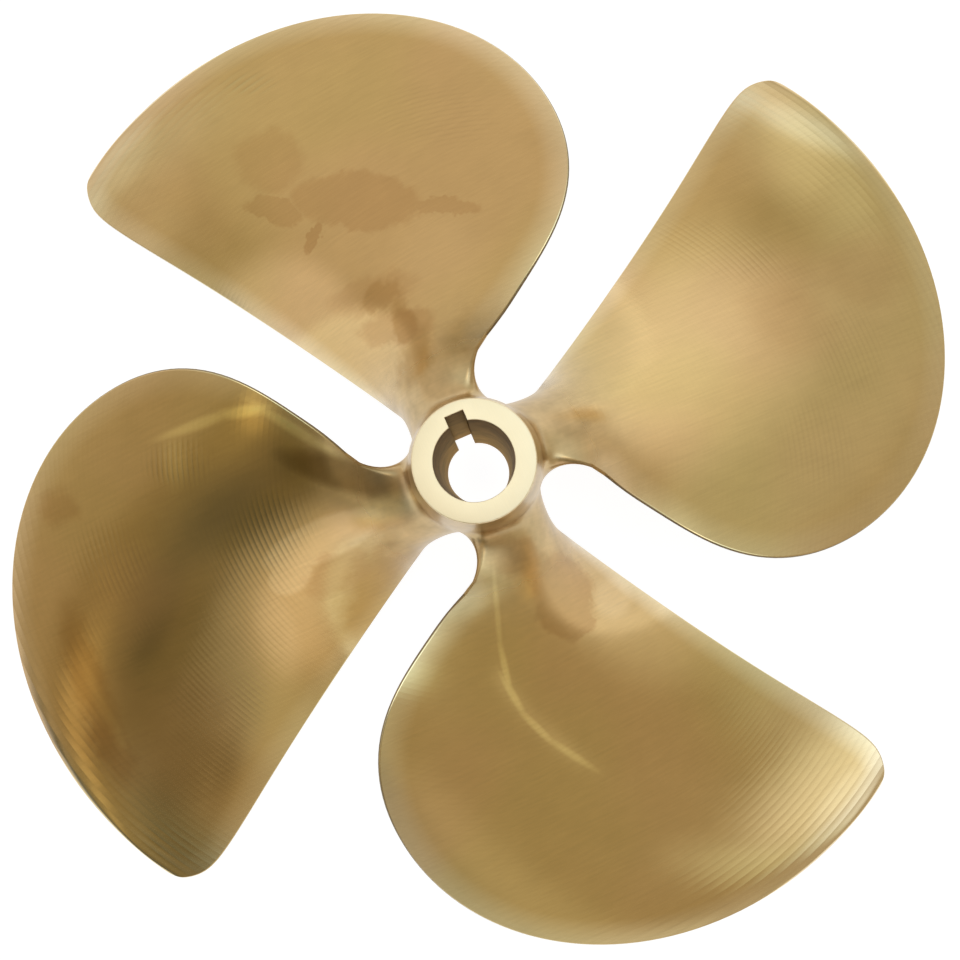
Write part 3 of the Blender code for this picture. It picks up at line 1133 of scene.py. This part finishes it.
    def ridge(self, radius: Sock, cut: Value) -> Sock:
        """Ridges between the cutter's rounds, highest and widest at the tips.

        Args:
            radius: distance from the shaft's axis.
            cut: extra height.

        Returns:
            Height, about 1 where the rounds are plain to see.
        """
        stretch = 1.0 / self.tip_pitch - 1.0 / self.pitch
        past = (radius - self.tip_from).math("MAXIMUM", 0.0)
        wave = (radius * (1.0 / self.pitch) + past * stretch).math("PINGPONG", 0.5)
        height = radius.rise(*self.tip_step) * self.tip_height + cut + self.least_height
        return wave * wave * (height * self.height)


@dataclass(frozen=True)
class Turned:
    """Bright, even bronze of the hub's end faces, brushed one way."""

    colour: tuple = (0.98, 0.85, 0.60, 1.0)
    lines: tuple = (1200.0, 90.0, 1.0)
    line_tone: float = 0.09
    clouds: tuple = (60.0, 2.0)
    cloud_tone: float = 0.08
    depth_mm: float = 0.008
    roughness: float = 0.46
    line_roughness: float = 0.1

    def make(self) -> bpy.types.Material:
        """Build the material.

        Returns:
            The material.
        """
        shader = Shader("turned_bronze")
        at, *_ = shader.position()
        line = shader.noise(shader.brushed(at, self.lines), 1.0, 3.0) - 0.5
        cloud = shader.noise(at, *self.clouds) - 0.5
        tone = line * self.line_tone + cloud * self.cloud_tone + 1.0
        shader.set(
            Base_Color=shader.toned(self.colour, tone), Metallic=1.0,
            Roughness=line * self.line_roughness + self.roughness,
            Normal=shader.relief(line * self.depth_mm))
        return shader.material


@dataclass(frozen=True)
class Fitted:
    """Dull brown walls of the bore and keyway, scored round the shaft."""

    dark: tuple = (0.12, 0.05, 0.01, 1.0)
    light: tuple = (0.42, 0.24, 0.08, 1.0)
    edge: tuple = (0.97, 0.79, 0.48, 1.0)
    across: float = 60.0
    along: float = 900.0
    scores: tuple = (1.0, 3.0, 0.6)
    blots: tuple = (75.0, 3.0, 0.6)
    score_share: float = 0.9
    blot_share: float = 1.6
    light_share: float = 0.35
    depth_mm: float = 0.03
    metallic: float = 0.9
    roughness: float = 0.42
    score_roughness: float = 0.2

    def make(self) -> bpy.types.Material:
        """Build the material.

        Returns:
            The material.
        """
        shader = Shader("bore_bronze")
        at, x, y, z = shader.position()
        scored = shader.vector(x * self.across, y * self.across, z * self.along)
        score = shader.noise(scored, *self.scores)
        blot = shader.noise(at, *self.blots)
        share = (score - 0.5) * self.score_share + (blot - 0.5) * self.blot_share
        share = share + self.light_share
        shader.set(
            Base_Color=shader.blend(share, self.dark, self.light), Metallic=self.metallic,
            Specular_Tint=self.edge, Roughness=score * self.score_roughness + self.roughness,
            Normal=shader.relief(score * self.depth_mm))
        return shader.material


@dataclass(frozen=True)
class Ground:
    """Duller bronze of the hand-ground blade edges."""

    colour: tuple = (0.34, 0.27, 0.17, 1.0)
    clouds: tuple = (120.0, 3.0)
    cloud_tone: float = 0.5
    roughness: float = 0.42
    tone_roughness: float = 0.1

    def make(self) -> bpy.types.Material:
        """Build the material.

        Returns:
            The material.
        """
        shader = Shader("ground_bronze")
        at, *_ = shader.position()
        tone = (shader.noise(at, *self.clouds) - 0.5) * self.cloud_tone + 1.0
        shader.set(
            Base_Color=shader.toned(self.colour, tone), Metallic=1.0,
            Roughness=tone * self.tone_roughness + self.roughness)
        return shader.material


@dataclass(frozen=True)
class Glow:
    """One soft patch of light, or of shade, in the room round the part."""

    around_deg: float
    down_deg: float
    inner_deg: float
    outer_deg: float
    colour: tuple

    def add(self, sky: Nodes, toward: Sock, colour: Value) -> Sock:
        """Add the patch to the room's colour.

        Args:
            sky: the world's nodes.
            toward: direction looked in.
            colour: the room's colour so far.

        Returns:
            The colour with this patch.
        """
        around, down = math.radians(self.around_deg + PICTURE_DEG), math.radians(self.down_deg)
        level = math.sin(down)
        middle = (level * math.cos(around), level * math.sin(around), math.cos(down))
        near = sky.node("ShaderNodeVectorMath", {"operation": "DOT_PRODUCT"},
                        {0: toward, 1: middle}, "Value")
        edges = (math.cos(math.radians(a)) for a in (self.outer_deg, self.inner_deg))
        return sky.scaled(near.rise(*edges), self.colour, colour)


@dataclass
class Studio:
    """Camera, floor and soft light, placed from the picture's right and up."""

    top: float
    tilt_x_deg: float = -3.189
    tilt_y_deg: float = -1.220
    distance: float = 0.9195
    side: float = -0.00371
    rise: float = 0.01180
    field_deg: float = 35.54
    sensor_mm: float = 36.0
    clip: tuple = (0.05, 20.0)
    floor_half: float = 4.0
    floor_colour: tuple = (0.25, 0.25, 0.25, 1.0)
    floor_roughness: float = 0.9
    floor_light: tuple = (0.97, 0.98, 1.0, 1.0)
    floor_strength: float = 0.92
    room_colour: tuple = (0.455, 0.388, 0.27)
    glows: tuple = (
        Glow(15, 19, 3, 28, (0.84, 1.06, 1.27)),
        Glow(89, 28, 3, 26, (0.29, 0.36, 0.42)),
        Glow(201, 33, 8, 15, (0.14, 0.14, 0.15)),
        Glow(89, 92, 4, 45, (0.55, 0.60, 0.72)),
        Glow(276, 77, 3, 24, (0.11, 0.11, 0.14)),
        Glow(151, 67, 23, 48, (0.23, 0.23, 0.26)),
        Glow(53, 50, 9, 28, (0.13, 0.19, 0.22)),
        Glow(38, 97, 10, 37, (0.20, 0.24, 0.25)),
        Glow(208, 82, 13, 25, (0.32, 0.33, 0.42)),
        Glow(190, 5, 4, 18, (1.35, 1.12, 0.85)),
        Glow(97, 39, 2, 10, (0.16, 0.18, 0.20)),
        Glow(238, 43, 0.5, 6.5, (0.36, 0.28, 0.14)),
        Glow(347, 62.2, 0.5, 3, (0.25, 0.26, 0.26)),
        Glow(248, 53, 14, 22, (-0.11, -0.11, -0.11)),
        Glow(276, 50, 14, 22, (-0.13, -0.10, -0.06)),
        Glow(285, 40, 4, 16, (-0.08, -0.09, -0.09)),
        Glow(285, 90, 10, 28, (0.32, 0.26, 0.28)),
        Glow(240, 80, 10, 28, (-0.27, -0.19, -0.07)),
        Glow(340, 38, 2, 9, (0.25, 0.36, 0.37)),
        Glow(250, 52, 2, 9, (-0.09, -0.07, -0.03)),
        Glow(285, 10, 10, 28, (-0.26, -0.17, -0.06)),
        Glow(300, 60, 4, 16, (0.13, 0.14, 0.14)),
        Glow(220, 66, 2, 9, (-0.30, -0.26, -0.22)),
        Glow(150, 20, 10, 28, (0.10, 0.24, 0.33)),
    )

    def picture(self) -> Matrix:
        """Turn from the picture's axes to the part's."""
        return Matrix.Rotation(math.radians(PICTURE_DEG), 4, "Z")

    def aim(self) -> bpy.types.Object:
        """Place the camera over the forward hub face.

        Returns:
            The camera.
        """
        tilt = (Matrix.Rotation(math.radians(self.tilt_x_deg), 4, "X")
                @ Matrix.Rotation(math.radians(self.tilt_y_deg), 4, "Y"))
        hub = Matrix.Translation((self.side, self.rise, -self.distance))
        pose = self.picture() @ tilt.inverted() @ hub.inverted()
        data = bpy.data.cameras.new("camera")
        data.sensor_width = self.sensor_mm
        data.angle = math.radians(self.field_deg)
        data.clip_start, data.clip_end = self.clip
        camera = bpy.data.objects.new("camera", data)
        camera.matrix_world = Matrix.Translation((0.0, 0.0, self.top)) @ pose
        bpy.context.scene.collection.objects.link(camera)
        bpy.context.scene.camera = camera
        return camera

    def floor(self) -> bpy.types.Object:
        """Lay a pale floor under the part.

        Returns:
            The floor.
        """
        h = self.floor_half
        corners = [(-h, -h, 0.0), (h, -h, 0.0), (h, h, 0.0), (-h, h, 0.0)]
        data = bpy.data.meshes.new("floor")
        data.from_pydata(corners, [], [(0, 1, 2, 3)])
        shader = Shader("pale_floor")
        shader.set(Base_Color=self.floor_colour, Roughness=self.floor_roughness,
                   Emission_Color=self.floor_light, Emission_Strength=self.floor_strength)
        shader.material.cycles.emission_sampling = "NONE"
        data.materials.append(shader.material)
        floor = bpy.data.objects.new("floor", data)
        bpy.context.scene.collection.objects.link(floor)
        return floor

    def world(self) -> None:
        """Fill the room with soft light."""
        room = bpy.data.worlds.new("room")
        room.use_nodes = True
        room.cycles.sampling_method = "NONE"
        bpy.context.scene.world = room
        sky = Nodes(room.node_tree)
        toward = sky.node("ShaderNodeTexCoord", output="Generated")
        colour: Value = self.room_colour
        for glow in self.glows:
            colour = glow.add(sky, toward, colour)
        room.node_tree.links.new(colour.socket, room.node_tree.nodes["Background"].inputs["Color"])

    def build(self) -> None:
        """Set the whole studio up."""
        self.aim()
        self.floor()
        self.world()
        view = bpy.context.scene.view_settings
        view.view_transform = "Standard"
        view.look = "None"


def main() -> None:
    """Build the casting and the studio, and report them."""
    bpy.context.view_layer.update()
    _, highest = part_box("propeller")
    Studio(top=highest.z).build()
    finishes = [Milled("milled_hub", MARKS[Region.SKIN]), Turned(), Fitted(), Ground()]
    finishes += [Milled(f"milled_{region.name.lower()}", MARKS[region], RIM_HIGHLIGHT_SHARES[region])
                 for region in BLADES]
    piece = Casting().build("propeller_casting", [finish.make() for finish in finishes])
    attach(piece, "root")
    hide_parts("propeller")
    log.info("%s: %d triangles", piece.name, sum(len(p.vertices) - 2 for p in piece.data.polygons))


if __name__ == "__main__":
    main()
